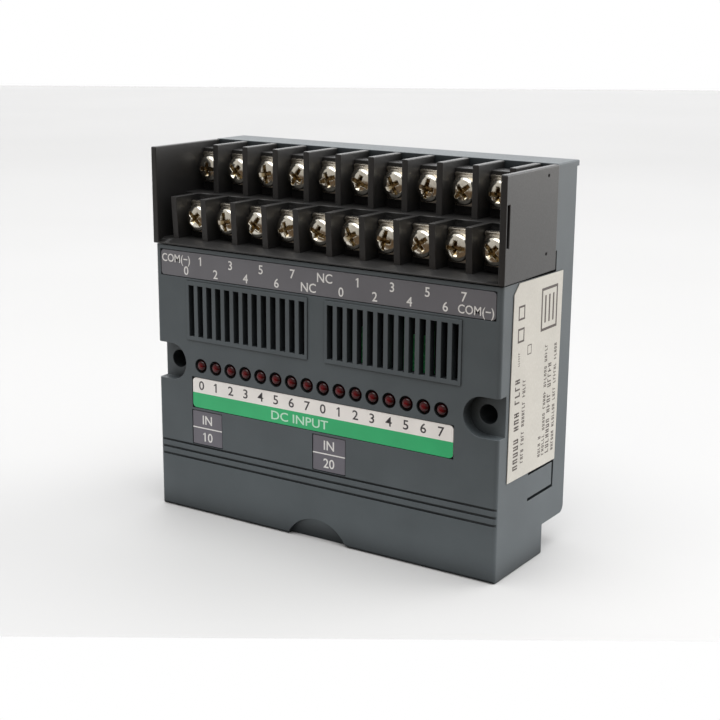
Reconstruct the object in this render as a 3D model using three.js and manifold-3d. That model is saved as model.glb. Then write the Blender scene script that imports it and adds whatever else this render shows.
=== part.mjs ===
// Sixteen-point input module with a two-tier screw terminal block.
// Millimetres, +X to the right, +Y to the back, +Z up. The origin is the centre of the
// bounding box's underside; the builders below work from the cover's front face (y = 0),
// and the last lines move the finished assembly back onto its own centre.

import * as THREE from 'three';
import { mergeVertices } from 'three/addons/utils/BufferGeometryUtils.js';
import Module from 'manifold-3d';

const wasm = await Module();
wasm.setup();

// ---------------------------------------------------------------- driving dimensions

const PITCH = 10.16;              // terminal pitch, 0.4 inch
const LED_PITCH = PITCH / 2;      // indicator pitch, 0.2 inch
const TERMINALS_PER_ROW = 10;
const LED_COUNT = 16;

const CASE_WIDTH = 107.5;
const CASE_DEPTH = 38.4;          // front face to back face
const TOTAL_HEIGHT = 101.8;
const COVER_HEIGHT = 75.2;        // top of the front cover, under the terminal block
const UPPER_FRONT = 27.4;         // front of the case behind the terminal block
const FOOT_DEPTH = 26;
const FOOT_HEIGHT = 8;            // the rear underside stands this far above the foot
const WALL = 2;
const LIP_DEPTH = 1.4;            // the roof's overhang past the back face
const LIP_HEIGHT = 1.5;
const CORNER = 1;                 // rounding of the front uprights
const CORNER_SEGMENTS = 4;
const CHAMFER = 0.8;
const GAP = 0.3;                  // clearance between neighbouring pieces
const THROUGH = 1;                // how far a cutter runs past what it cuts

const BLOCK_HALF_WIDTH = 54.2;
const BLOCK_FRONT = -0.4;
const BLOCK_BOTTOM = COVER_HEIGHT + GAP;
const BLOCK_TOP = 101.7;
const BLOCK_BACK = 25.6;
const SHELF_FRONT = 11.6;         // front of the shelf below the upper row of terminals
const BACK_WALL_DROP = 1.8;       // the wall behind each row stops this far below its barriers
const BARRIER = 1.75;             // thickness of the walls between terminals
const HALF_ROW = (TERMINALS_PER_ROW - 0.5) * LED_PITCH;

// Each tier: x of its first screw and first barrier, screw height, front of the screw
// heads, front of the washers' back wall, barrier foot, barrier top and barrier fronts.
const UPPER = {
  name: 'upper', screwX: -HALF_ROW, barrierX: -HALF_ROW + LED_PITCH, screwZ: 94.5, headY: 15.6,
  wallY: 20, footZ: 88.3, topZ: BLOCK_TOP, frontLowY: 13.5, frontTopY: 13.5, backY: 27.1,
};
const LOWER = {
  name: 'lower', screwX: -HALF_ROW + LED_PITCH, barrierX: -HALF_ROW, screwZ: 82.4, headY: 3.9,
  wallY: 8.3, footZ: 76.6, topZ: 88.4, frontLowY: 2.3, frontTopY: 1.5, backY: 12,
};
const TIERS = [UPPER, LOWER];
const END_SLOT = { front: 0.2, back: 1.4, bottom: 84.4, top: 94.6, depth: 0.8 };
const DIMPLE = { y: 21.4, z: [80.2, 99.5], radius: 0.4 };
const SPIGOT = { halfWidth: 46, front: 19, back: 24.5, depth: 4.5 };

const HEAD_RADIUS = 3.5;          // M3.5 pan head
const HEAD_HEIGHT = 2.5;
const THREAD_RADIUS = 1.75;
const THREAD_LENGTH = 6.8;
const WASHER_WIDTH = 7.4;
const WASHER_HEIGHT = 7.8;
const WASHER_THICKNESS = 1;
const DRIVE = { depth: 1.3, half: 0.45, slot: 2.4, cross: 1.9 };
const SCREW_TURN = 0.7;           // each screw stops at its own angle, this much past the last
const SHANK_CLEARANCE = 0.2;
const SEAT = 0.05;                // film between a head and its washer, or a label and its case

const VENT_COUNT = 13;            // slots in each of the two groups
const VENT_PITCH = 3.07;
const VENT_WIDTH = 1.75;
const VENT_BOTTOM = 50.8;
const VENT_TOP = 64.9;
const VENT_INNER = 4.45;          // x of the slot nearest the middle
const VENT_PANEL_RISE = 0.3;
const VENT_PANEL_MARGIN = 1.2;

const LED_SHIFT = 0.5;            // the row sits a little left of the middle
const LED_HEIGHT = 42.6;
const LED_HOLE_RADIUS = 2;
const LED_HOLE_SEGMENTS = 24;
const LED_RADIUS = 1.5;
const LED_TIP = 0.5;
const LED_FLANGE = 1.9;
const STRIP = { front: 4.6, back: 7.2, halfHeight: 2.2, margin: 2.6 };

const MOUNT_X = 49;               // the two M4 mounting holes are 98 mm apart
const MOUNT_Z = 42.6;
const MOUNT_RADIUS = 2.5;
const MOUNT_SEGMENTS = 32;
const POCKET_RADIUS = 5.15;
const POCKET_DEPTH = 3.5;
const POCKET_SEGMENTS = 20;
const SLEEVE_RADIUS = 4.4;

const GROOVES = [15.4, 17.45, 19.5];
const GROOVE_WIDTH = 0.6;
const GROOVE_DEPTH = 0.5;
const SCOOP_HALF_WIDTH = 9.5;     // finger scoop in the front's lower edge
const SCOOP_HEIGHT = 6;
const SCOOP_DEPTH = 2;

const TONGUE = { front: 16.9, back: 30.9, bottom: 17.4, top: 24.4, slot: 0.8 };
const ARM = { front: 29, thickness: 1.5 };

const LABEL = 0.4;                // label thickness
const LABEL_SUNK = 0.12;          // each front label sits this far below the cover's face
const TERMINAL_LABEL = { x0: -52.1, x1: 52.1, z0: 66.8, z1: 74, corner: 1 };
const LED_LABEL = { x0: -41.8, x1: 41.3, z0: 30.5, z1: 39.2, corner: 1.2 };
const INPUT_LABELS = [
  { name: 'input_label_left', x0: -42, x1: -31.6, z0: 19.95, z1: 29.75, corner: 0.3 },
  { name: 'input_label_right', x0: -1.2, x1: 9.2, z0: 19.95, z1: 29.75, corner: 0.3 },
];
const RATING_LABEL = { y0: 5.2, y1: 31.7, z0: 24.9, z1: 74.8, corner: 2.6, tilt: -0.016, thickness: 0.2 };

const BACK_THICKNESS = 2;
const BOARD = 1.6;
const MAIN_BOARD_FRONT = 32.6;
const MAIN_BOARD_BACK = MAIN_BOARD_FRONT + BOARD;
const FRONT_BOARD_FRONT = 7.4;
const FRONT_BOARD_BACK = FRONT_BOARD_FRONT + BOARD;
const FRONT_BOARD = { half: 43.5, bottom: 22, top: 71.5 };
const MAIN_BOARD = { half: 49.5, bottom: 17.4, top: 98.5 };
const BOARD_LINK = { half: 20, bottom: 26, top: 31 };
const BOARD_SCREW = { x: 40, z: 92, hole: 1.6, head: 2.6, rise: 1.5, shank: 0.9, length: 4.4 };
const BOSS_RADIUS = 3;            // the boss that a board screw bites into, and its pilot hole
const PILOT_RADIUS = 1.1;
const BUS = { halfWidth: 16.5, front: 26.4, back: 35.4, bottom: 8.4, top: 17, wall: 1.1, roof: 2 };
const BUS_KEY = { half: 2.2, height: 4 };
const CONTROLLER = { x: 30, z: 36, width: 14, height: 14, thickness: 2 };
const OPTOCOUPLERS = { count: 4, x: -31.5, pitch: 21, z: 62, width: 6.4, height: 19, thickness: 3.4 };
const PIN_ONE_NOTCH = { radius: 0.9, depth: 0.5 };

// ---------------------------------------------------------------- geometry helpers

function toSolid(geometry) {
  const bare = geometry.index ? geometry.toNonIndexed() : geometry.clone();
  bare.deleteAttribute('normal');
  bare.deleteAttribute('uv');
  const merged = mergeVertices(bare, 1e-5);
  const corners = merged.index.array;
  const kept = [];
  for (let i = 0; i < corners.length; i += 3) {
    const [a, b, c] = corners.slice(i, i + 3);
    if (a !== b && b !== c && c !== a) {
      kept.push(a, b, c);
    }
  }
  const vertProperties = new Float32Array(merged.attributes.position.array);
  return new wasm.Manifold(new wasm.Mesh({ numProp: 3, vertProperties, triVerts: new Uint32Array(kept) }));
}

function toGeometry(solid) {
  const mesh = solid.getMesh();
  const geometry = new THREE.BufferGeometry();
  geometry.setAttribute('position', new THREE.BufferAttribute(new Float32Array(mesh.vertProperties), 3));
  geometry.setIndex(new THREE.BufferAttribute(new Uint32Array(mesh.triVerts), 1));
  geometry.computeVertexNormals();
  return geometry;
}

function box(x0, x1, y0, y1, z0, z1) {
  const geometry = new THREE.BoxGeometry(x1 - x0, y1 - y0, z1 - z0);
  return geometry.translate((x0 + x1) / 2, (y0 + y1) / 2, (z0 + z1) / 2);
}

function outline(points) {
  const shape = new THREE.Shape();
  points.forEach(([a, b], i) => (i ? shape.lineTo(a, b) : shape.moveTo(a, b)));
  return shape;
}

// A (y, z) outline extruded along X.
function alongX(shape, x0, x1, curveSegments = 6) {
  const geometry = new THREE.ExtrudeGeometry(shape, { depth: x1 - x0, bevelEnabled: false, curveSegments });
  const turn = new THREE.Matrix4().set(0, 0, 1, x0, 1, 0, 0, 0, 0, 1, 0, 0, 0, 0, 0, 1);
  return geometry.applyMatrix4(turn);
}

// An (x, z) outline extruded along Y, from y0 back to y1.
function alongY(shape, y0, y1, curveSegments = 6) {
  const geometry = new THREE.ExtrudeGeometry(shape, { depth: y1 - y0, bevelEnabled: false, curveSegments });
  return geometry.rotateX(Math.PI / 2).translate(0, y1, 0);
}

// An (x, y) outline extruded along Z.
function alongZ(shape, z0, z1, curveSegments = 6) {
  const geometry = new THREE.ExtrudeGeometry(shape, { depth: z1 - z0, bevelEnabled: false, curveSegments });
  return geometry.translate(0, 0, z0);
}

// A round bar along X.
function barX(y, z, radius, x0, x1, segments = 8) {
  const geometry = new THREE.CylinderGeometry(radius, radius, x1 - x0, segments);
  return geometry.rotateZ(Math.PI / 2).translate((x0 + x1) / 2, y, z);
}

// A round bar along Y.
function barY(x, z, radius, y0, y1, segments = 16) {
  const geometry = new THREE.CylinderGeometry(radius, radius, y1 - y0, segments);
  return geometry.translate(x, (y0 + y1) / 2, z);
}

// A profile of [radius, y] points, front to back, turned about the Y axis.
function turned(profile, segments) {
  return new THREE.LatheGeometry(profile.map(([r, y]) => new THREE.Vector2(r, y)), segments);
}

const ledX = (i) => (i - (LED_COUNT - 1) / 2) * LED_PITCH - LED_SHIFT;
const union = (first, ...rest) => rest.reduce((sum, next) => sum.add(toSolid(next)), first);
const cut = (first, ...rest) => rest.reduce((left, next) => left.subtract(toSolid(next)), first);
const signs = [-1, 1];
const ordered = (a, b) => [Math.min(a, b), Math.max(a, b)];
const range = (count) => Array.from({ length: count }, (_, i) => i);

// ---------------------------------------------------------------- materials

const finish = (color, roughness, metalness) =>
  new THREE.MeshStandardMaterial({ color, roughness, metalness });
const plastic = (color, roughness = 0.55) => finish(color, roughness, 0);
const SLATE = plastic(0x4b5257);
const BLACK = plastic(0x1d1c1d);
const NICKEL = finish(0xc9c2b4, 0.3, 1);
const BOARD_GREEN = plastic(0x1f6b3c, 0.4);
const LED_RED = plastic(0x6b1014, 0.2);
const LABEL_DARK = plastic(0x55545a);
const LABEL_WHITE = plastic(0xe6e2de);
const LABEL_CREAM = plastic(0xd5d2c8);
const CHIP = plastic(0x222224);
const CONNECTOR = plastic(0x2b2b2d);

const assembly = new THREE.Group();

function addPiece(name, geometry, material) {
  const mesh = new THREE.Mesh(geometry, material);
  mesh.name = name;
  assembly.add(mesh);
  return mesh;
}

// ---------------------------------------------------------------- case shell

function caseOutside() {
  const side = new THREE.Shape();
  const rounding = 2;
  side.moveTo(CHAMFER, 0);
  side.lineTo(FOOT_DEPTH, 0);
  side.lineTo(FOOT_DEPTH, FOOT_HEIGHT);
  side.lineTo(CASE_DEPTH - rounding, FOOT_HEIGHT);
  side.absarc(CASE_DEPTH - rounding, FOOT_HEIGHT + rounding, rounding, -Math.PI / 2, 0, false);
  side.lineTo(CASE_DEPTH, TOTAL_HEIGHT - LIP_HEIGHT);
  side.lineTo(CASE_DEPTH + LIP_DEPTH, TOTAL_HEIGHT - LIP_HEIGHT);
  side.lineTo(CASE_DEPTH + LIP_DEPTH, TOTAL_HEIGHT);
  side.lineTo(UPPER_FRONT, TOTAL_HEIGHT);
  side.lineTo(UPPER_FRONT, COVER_HEIGHT);
  side.lineTo(0, COVER_HEIGHT);
  side.lineTo(0, CHAMFER);
  const half = CASE_WIDTH / 2;
  const plan = new THREE.Shape();
  plan.moveTo(-half + CORNER, 0);
  plan.lineTo(half - CORNER, 0);
  plan.absarc(half - CORNER, CORNER, CORNER, -Math.PI / 2, 0, false);
  plan.lineTo(half, CASE_DEPTH + LIP_DEPTH + THROUGH);
  plan.lineTo(-half, CASE_DEPTH + LIP_DEPTH + THROUGH);
  plan.lineTo(-half, CORNER);
  plan.absarc(-half + CORNER, CORNER, CORNER, Math.PI, 1.5 * Math.PI, false);
  return toSolid(alongX(side, -half - THROUGH, half + THROUGH))
    .intersect(toSolid(alongZ(plan, -THROUGH, TOTAL_HEIGHT + THROUGH, CORNER_SEGMENTS)));
}

function caseHollow() {
  const inner = outline([
    [WALL, WALL],
    [FOOT_DEPTH - WALL, WALL],
    [FOOT_DEPTH - WALL, FOOT_HEIGHT + WALL],
    [CASE_DEPTH + LIP_DEPTH + THROUGH, FOOT_HEIGHT + WALL],
    [CASE_DEPTH + LIP_DEPTH + THROUGH, TOTAL_HEIGHT - WALL],
    [UPPER_FRONT + WALL, TOTAL_HEIGHT - WALL],
    [UPPER_FRONT + WALL, COVER_HEIGHT - WALL],
    [WALL, COVER_HEIGHT - WALL],
  ]);
  return alongX(inner, -CASE_WIDTH / 2 + WALL, CASE_WIDTH / 2 - WALL);
}

// A mounting pocket: a round-ended recess that opens through the side of the case.
function pocketOutline(side, radius) {
  const x = side * MOUNT_X;
  const out = side * (CASE_WIDTH / 2 + THROUGH);
  const shape = new THREE.Shape();
  shape.moveTo(out, MOUNT_Z + radius);
  shape.lineTo(x, MOUNT_Z + radius);
  shape.absarc(x, MOUNT_Z, radius, Math.PI / 2, -Math.PI / 2, side < 0);
  shape.lineTo(out, MOUNT_Z - radius);
  return shape;
}

function scoopCutter() {
  const radius = (SCOOP_HALF_WIDTH ** 2 + SCOOP_HEIGHT ** 2) / (2 * SCOOP_HEIGHT);
  const round = toSolid(barY(0, SCOOP_HEIGHT - radius, radius, -THROUGH, SCOOP_DEPTH + THROUGH, 48));
  const slope = SCOOP_DEPTH / SCOOP_HEIGHT;
  const wedge = outline([
    [-THROUGH, SCOOP_HEIGHT + THROUGH / slope],
    [-THROUGH, -THROUGH],
    [SCOOP_DEPTH + slope * THROUGH, -THROUGH],
  ]);
  return round.intersect(toSolid(alongX(wedge, -2 * SCOOP_HALF_WIDTH, 2 * SCOOP_HALF_WIDTH)));
}

function ventCentres(side) {
  return range(VENT_COUNT).map((i) => side * (VENT_INNER + VENT_PITCH * i));
}

function tongueSlots(side) {
  const { front, back, bottom, top } = TONGUE;
  const w = TONGUE.slot / 2;
  const [low, high] = ordered(side * (CASE_WIDTH / 2 + THROUGH), side * (CASE_WIDTH / 2 - WALL - THROUGH));
  return [
    box(low, high, front, back + w, bottom - w, bottom + w),
    box(low, high, front, back + w, top - w, top + w),
    box(low, high, back - w, back + w, bottom, top),
  ];
}

function recess(label) {
  const depth = LABEL_SUNK + LABEL + SEAT;
  return box(label.x0 - SEAT, label.x1 + SEAT, -THROUGH, depth, label.z0 - SEAT, label.z1 + SEAT);
}

// The raised panel that carries one group of vent slots.
function ventPanel(side) {
  const outer = VENT_INNER + VENT_PITCH * (VENT_COUNT - 1) + VENT_WIDTH;
  const sides = ordered(side * (VENT_INNER - VENT_WIDTH), side * outer);
  return box(...sides, -VENT_PANEL_RISE, WALL, VENT_BOTTOM - VENT_PANEL_MARGIN, VENT_TOP + VENT_PANEL_MARGIN);
}

function ventSlots(side) {
  const half = VENT_WIDTH / 2;
  return ventCentres(side).map((x) =>
    box(x - half, x + half, -THROUGH, WALL + THROUGH, VENT_BOTTOM, VENT_TOP));
}

// A mounting pocket's walls and floor, and the sleeve that takes the screw to the back.
function addMounting(shell, side) {
  const walls = toSolid(alongY(pocketOutline(side, POCKET_RADIUS + WALL), WALL / 2, POCKET_DEPTH + WALL,
    POCKET_SEGMENTS));
  const inside = toSolid(box(...ordered(0, side * CASE_WIDTH / 2), 0, CASE_DEPTH, 0, TOTAL_HEIGHT));
  const sleeve = barY(side * MOUNT_X, MOUNT_Z, SLEEVE_RADIUS, WALL, CASE_DEPTH - BACK_THICKNESS - GAP, 24);
  return cut(union(shell.add(walls.intersect(inside)), sleeve),
    alongY(pocketOutline(side, POCKET_RADIUS), -THROUGH, POCKET_DEPTH, POCKET_SEGMENTS),
    barY(side * MOUNT_X, MOUNT_Z, MOUNT_RADIUS, 0, CASE_DEPTH, MOUNT_SEGMENTS));
}

// The boss that a board screw bites into.
function addBoss(shell, side) {
  const x = side * BOARD_SCREW.x;
  const z = BOARD_SCREW.z;
  const boss = barY(x, z, BOSS_RADIUS, UPPER_FRONT + WALL / 2, MAIN_BOARD_FRONT - SEAT, 12);
  const pilot = barY(x, z, PILOT_RADIUS, UPPER_FRONT + WALL, MAIN_BOARD_FRONT + THROUGH, 8);
  return cut(union(shell, boss), pilot);
}

function caseShell() {
  let shell = cut(caseOutside(), caseHollow());
  for (const side of signs) {
    shell = union(shell, ventPanel(side));
    shell = addBoss(addMounting(shell, side), side);
    shell = cut(shell, ...tongueSlots(side), ...ventSlots(side));
  }
  for (const i of range(LED_COUNT)) {
    shell = cut(shell, barY(ledX(i), LED_HEIGHT, LED_HOLE_RADIUS, -THROUGH, WALL + THROUGH, LED_HOLE_SEGMENTS));
  }
  for (const z of GROOVES) {
    const half = CASE_WIDTH / 2 + THROUGH;
    shell = cut(shell, box(-half, half, -THROUGH, GROOVE_DEPTH, z - GROOVE_WIDTH / 2, z + GROOVE_WIDTH / 2));
  }
  for (const label of [TERMINAL_LABEL, LED_LABEL, ...INPUT_LABELS]) {
    shell = cut(shell, recess(label));
  }
  const busMouth = box(-BUS.halfWidth - GAP, BUS.halfWidth + GAP, BUS.front - GAP, BUS.back + GAP,
    FOOT_HEIGHT - THROUGH, FOOT_HEIGHT + WALL + THROUGH);
  const spigotMouth = box(-SPIGOT.halfWidth - GAP, SPIGOT.halfWidth + GAP, SPIGOT.front - GAP,
    SPIGOT.back + GAP, COVER_HEIGHT - WALL - THROUGH, COVER_HEIGHT + THROUGH);
  return cut(shell.subtract(scoopCutter()), busMouth, spigotMouth);
}

// ---------------------------------------------------------------- back cover

// A flat plate with one arm at each side that holds the case's snap tongue.
function backCover() {
  const half = CASE_WIDTH / 2 - WALL - GAP;
  const bottom = FOOT_HEIGHT + WALL + GAP;
  const top = TOTAL_HEIGHT - WALL - GAP;
  let cover = toSolid(box(-half, half, CASE_DEPTH - BACK_THICKNESS, CASE_DEPTH, bottom, top));
  for (const side of signs) {
    const arm = box(...ordered(side * half, side * (half - ARM.thickness)), ARM.front, CASE_DEPTH - THROUGH,
      TONGUE.bottom + TONGUE.slot, TONGUE.top - TONGUE.slot);
    const hole = barY(side * MOUNT_X, MOUNT_Z, MOUNT_RADIUS, ARM.front, CASE_DEPTH + THROUGH,
      MOUNT_SEGMENTS);
    cover = cut(union(cover, arm), hole);
  }
  return cover;
}

// ---------------------------------------------------------------- terminal block

function barrierOutline(tier) {
  return outline([
    [tier.frontLowY, tier.footZ],
    [tier.backY, tier.footZ],
    [tier.backY, tier.topZ],
    [tier.frontTopY, tier.topZ],
  ]);
}

// The two steps that carry the terminals, as a (y, z) outline.
function blockOutline() {
  const sill = 0.4;               // height of the block's front edge and of the lower cells' floor
  return outline([
    [BLOCK_FRONT, BLOCK_BOTTOM],
    [BLOCK_BACK, BLOCK_BOTTOM],
    [BLOCK_BACK, UPPER.topZ - BACK_WALL_DROP],
    [UPPER.wallY, UPPER.topZ - BACK_WALL_DROP],
    [UPPER.wallY, LOWER.topZ],
    [SHELF_FRONT, LOWER.topZ],
    [SHELF_FRONT, LOWER.topZ - BACK_WALL_DROP],
    [LOWER.wallY, LOWER.topZ - BACK_WALL_DROP],
    [LOWER.wallY, LOWER.footZ + sill],
    [LOWER.frontLowY, LOWER.footZ + sill],
    [BLOCK_FRONT, BLOCK_BOTTOM + sill],
  ]);
}

// An end wall with its long slot and two dimples.
function addEndWall(block, side) {
  const outer = side * BLOCK_HALF_WIDTH;
  const wall = ordered(outer, outer - side * BARRIER);
  const sunk = ordered(outer + side * THROUGH, outer - side * END_SLOT.depth);
  const walled = union(block, box(...wall, BLOCK_FRONT, UPPER.backY, BLOCK_BOTTOM, BLOCK_TOP));
  return cut(walled, box(...sunk, END_SLOT.front, END_SLOT.back, END_SLOT.bottom, END_SLOT.top),
    ...DIMPLE.z.map((z) => barX(DIMPLE.y, z, DIMPLE.radius, ...sunk)));
}

function terminalBlock() {
  const half = BLOCK_HALF_WIDTH - BARRIER / 2;
  let block = toSolid(alongX(blockOutline(), -half, half));
  for (const side of signs) {
    block = addEndWall(block, side);
  }
  for (const tier of TIERS) {
    for (const i of range(TERMINALS_PER_ROW)) {
      const x = tier.barrierX + i * PITCH;
      block = union(block, alongX(barrierOutline(tier), x - BARRIER / 2, x + BARRIER / 2));
      block = cut(block, barY(tier.screwX + i * PITCH, tier.screwZ, THREAD_RADIUS + SHANK_CLEARANCE,
        tier.wallY - THROUGH, tier.headY + HEAD_HEIGHT + THREAD_LENGTH + GAP, 12));
    }
  }
  return union(block, box(-SPIGOT.halfWidth, SPIGOT.halfWidth, SPIGOT.front, SPIGOT.back,
    BLOCK_BOTTOM - SPIGOT.depth, BLOCK_BOTTOM + THROUGH));
}

// ---------------------------------------------------------------- terminal screws and washers

// A pan-head screw along Y, head forward, with a cross recess and one long slot.
function terminalScrew() {
  const rim = 0.9;                // height of the head's upright rim
  const point = 0.6;
  const back = HEAD_HEIGHT + THREAD_LENGTH;
  const body = toSolid(turned([
    [0, 0],
    [HEAD_RADIUS * 0.7, 0.4],
    [HEAD_RADIUS, HEAD_HEIGHT - rim],
    [HEAD_RADIUS, HEAD_HEIGHT],
    [THREAD_RADIUS, HEAD_HEIGHT],
    [THREAD_RADIUS, back - point],
    [THREAD_RADIUS - point, back],
    [0, back],
  ], 12));
  return cut(body, box(-DRIVE.slot, DRIVE.slot, -THROUGH, DRIVE.depth, -DRIVE.half, DRIVE.half),
    box(-DRIVE.half, DRIVE.half, -THROUGH, DRIVE.depth, -DRIVE.cross, DRIVE.cross));
}

// A square clamp washer that stays on its screw.
function clampWasher() {
  const front = HEAD_HEIGHT + SEAT;
  const rear = front + WASHER_THICKNESS;
  const half = WASHER_WIDTH / 2;
  const plate = toSolid(box(-half, half, front, rear, -WASHER_HEIGHT / 2, WASHER_HEIGHT / 2));
  return cut(plate, barY(0, 0, THREAD_RADIUS + SHANK_CLEARANCE, 0, rear + THROUGH, 12));
}

function addTerminals() {
  const screw = toGeometry(terminalScrew());
  const washer = toGeometry(clampWasher());
  TIERS.forEach((tier, row) => {
    for (const i of range(TERMINALS_PER_ROW)) {
      const place = [tier.screwX + i * PITCH, tier.headY, tier.screwZ];
      const screwMesh = addPiece(`terminal_screw_${tier.name}_${i + 1}`, screw, NICKEL);
      screwMesh.position.set(...place);
      screwMesh.rotation.y = (i + row * TERMINALS_PER_ROW) * SCREW_TURN;
      addPiece(`clamp_washer_${tier.name}_${i + 1}`, washer, NICKEL).position.set(...place);
    }
  });
}

// ---------------------------------------------------------------- indicators and boards

// Sixteen domed indicators joined by the holder that lines them up behind their holes.
function ledStrip() {
  const { front, back, halfHeight, margin } = STRIP;
  const shoulder = front - 0.8;
  const led = [
    [0, LED_TIP],
    [LED_RADIUS * 0.7, LED_TIP + 0.45],
    [LED_RADIUS, LED_TIP + LED_RADIUS],
    [LED_RADIUS, shoulder],
    [LED_FLANGE, shoulder],
    [LED_FLANGE, front + 0.5],
    [0, front + 0.5],
  ];
  const strip = toSolid(box(ledX(0) - margin, ledX(LED_COUNT - 1) + margin, front, back,
    LED_HEIGHT - halfHeight, LED_HEIGHT + halfHeight));
  return union(strip, ...range(LED_COUNT).map((i) => turned(led, 8).translate(ledX(i), 0, LED_HEIGHT)));
}

function frontBoard() {
  const { half, bottom, top } = FRONT_BOARD;
  return toSolid(box(-half, half, FRONT_BOARD_FRONT, FRONT_BOARD_BACK, bottom, top));
}

function mainBoard() {
  const { half, bottom, top } = MAIN_BOARD;
  let board = toSolid(box(-half, half, MAIN_BOARD_FRONT, MAIN_BOARD_BACK, bottom, top));
  const span = [MAIN_BOARD_FRONT - THROUGH, MAIN_BOARD_BACK + THROUGH];
  for (const side of signs) {
    board = cut(board, barY(side * MOUNT_X, MOUNT_Z, SLEEVE_RADIUS + GAP, ...span, 24),
      barY(side * BOARD_SCREW.x, BOARD_SCREW.z, BOARD_SCREW.hole, ...span, 12));
  }
  return board;
}

// A moulded chip on the main board's front, with a notch in its upper end.
function chip({ z, width, height, thickness }, x) {
  const face = MAIN_BOARD_FRONT - thickness;
  const end = z + height / 2;
  const body = toSolid(box(x - width / 2, x + width / 2, face, MAIN_BOARD_FRONT - SEAT, end - height, end));
  return cut(body, barY(x, end, PIN_ONE_NOTCH.radius, face - THROUGH, face + PIN_ONE_NOTCH.depth, 10));
}

// A pan-head self-tapping screw, its head on the main board's back.
function boardScrew(side) {
  const { x, z, head, rise, shank, length } = BOARD_SCREW;
  const screw = turned([
    [0, -length],
    [shank, -length + 0.6],
    [shank, 0],
    [head, 0.1],
    [head, rise - 0.5],
    [head * 0.6, rise],
    [0, rise],
  ], 12);
  return toSolid(screw.translate(side * x, MAIN_BOARD_BACK - SEAT, z));
}

// The shrouded plug that faces down behind the foot, with a key slot in its front wall.
function busConnector() {
  const { halfWidth, front, back, bottom, top, wall, roof } = BUS;
  const shroud = toSolid(box(-halfWidth, halfWidth, front, back, bottom, top));
  return cut(shroud,
    box(-halfWidth + wall, halfWidth - wall, front + wall, back - wall, bottom - THROUGH, top - roof),
    box(-BUS_KEY.half, BUS_KEY.half, front - THROUGH, front + wall + THROUGH, bottom - THROUGH,
      bottom + BUS_KEY.height));
}

// The stacking header that joins the two boards.
function boardLink() {
  const { half, bottom, top } = BOARD_LINK;
  return toSolid(box(-half, half, FRONT_BOARD_BACK + SEAT, MAIN_BOARD_FRONT - SEAT, bottom, top));
}

// ---------------------------------------------------------------- labels

// A thin plate sunk in the cover's face, its two right-hand corners rounded.
function frontLabel({ x0, x1, z0, z1, corner }) {
  const shape = new THREE.Shape();
  shape.moveTo(x0, z0);
  shape.lineTo(x1 - corner, z0);
  shape.absarc(x1 - corner, z0 + corner, corner, -Math.PI / 2, 0, false);
  shape.lineTo(x1, z1 - corner);
  shape.absarc(x1 - corner, z1 - corner, corner, 0, Math.PI / 2, false);
  shape.lineTo(x0, z1);
  return toSolid(alongY(shape, LABEL_SUNK, LABEL_SUNK + LABEL));
}

// The sticker on the right-hand side, centred on its own middle, one corner cut off.
function ratingLabel() {
  const { y0, y1, z0, z1, corner, thickness } = RATING_LABEL;
  const y = (y1 - y0) / 2;
  const z = (z1 - z0) / 2;
  const sticker = outline([[-y, -z], [y, -z], [y, z], [corner - y, z], [-y, z - corner]]);
  return toSolid(alongX(sticker, 0, thickness));
}

// ---------------------------------------------------------------- assembly

addPiece('case_shell', toGeometry(caseShell()), SLATE);
addPiece('back_cover', toGeometry(backCover()), SLATE);
addPiece('terminal_block', toGeometry(terminalBlock()), BLACK);
addTerminals();
addPiece('main_board', toGeometry(mainBoard()), BOARD_GREEN);
addPiece('front_board', toGeometry(frontBoard()), BOARD_GREEN);
addPiece('board_link', toGeometry(boardLink()), CONNECTOR);
addPiece('led_strip', toGeometry(ledStrip()), LED_RED);
addPiece('bus_connector', toGeometry(busConnector()), CONNECTOR);
addPiece('controller_chip', toGeometry(chip(CONTROLLER, CONTROLLER.x)), CHIP);
for (const i of range(OPTOCOUPLERS.count)) {
  const x = OPTOCOUPLERS.x + OPTOCOUPLERS.pitch * i;
  addPiece(`optocoupler_${i + 1}`, toGeometry(chip(OPTOCOUPLERS, x)), CHIP);
}
addPiece('board_screw_left', toGeometry(boardScrew(-1)), NICKEL);
addPiece('board_screw_right', toGeometry(boardScrew(1)), NICKEL);
addPiece('terminal_label', toGeometry(frontLabel(TERMINAL_LABEL)), LABEL_DARK);
addPiece('led_label', toGeometry(frontLabel(LED_LABEL)), LABEL_WHITE);
for (const label of INPUT_LABELS) {
  addPiece(label.name, toGeometry(frontLabel(label)), LABEL_DARK);
}
const rating = addPiece('rating_label', toGeometry(ratingLabel()), LABEL_CREAM);
rating.position.set(CASE_WIDTH / 2 + SEAT, (RATING_LABEL.y0 + RATING_LABEL.y1) / 2,
  (RATING_LABEL.z0 + RATING_LABEL.z1) / 2);
rating.rotation.x = RATING_LABEL.tilt;

// The bounding box runs from the block's front to the roof's lip.
assembly.position.y = -(BLOCK_FRONT + CASE_DEPTH + LIP_DEPTH) / 2;
assembly.updateMatrixWorld(true);

export default assembly;
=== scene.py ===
"""Looks of the sixteen-point input module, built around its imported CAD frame.

Metres, +X right, +Y back, +Z up. Sizes are written in millimetres and multiplied by MM.
"""

import math
import random

import bmesh
import bpy
from mathutils import Matrix, Quaternion, Vector


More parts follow.
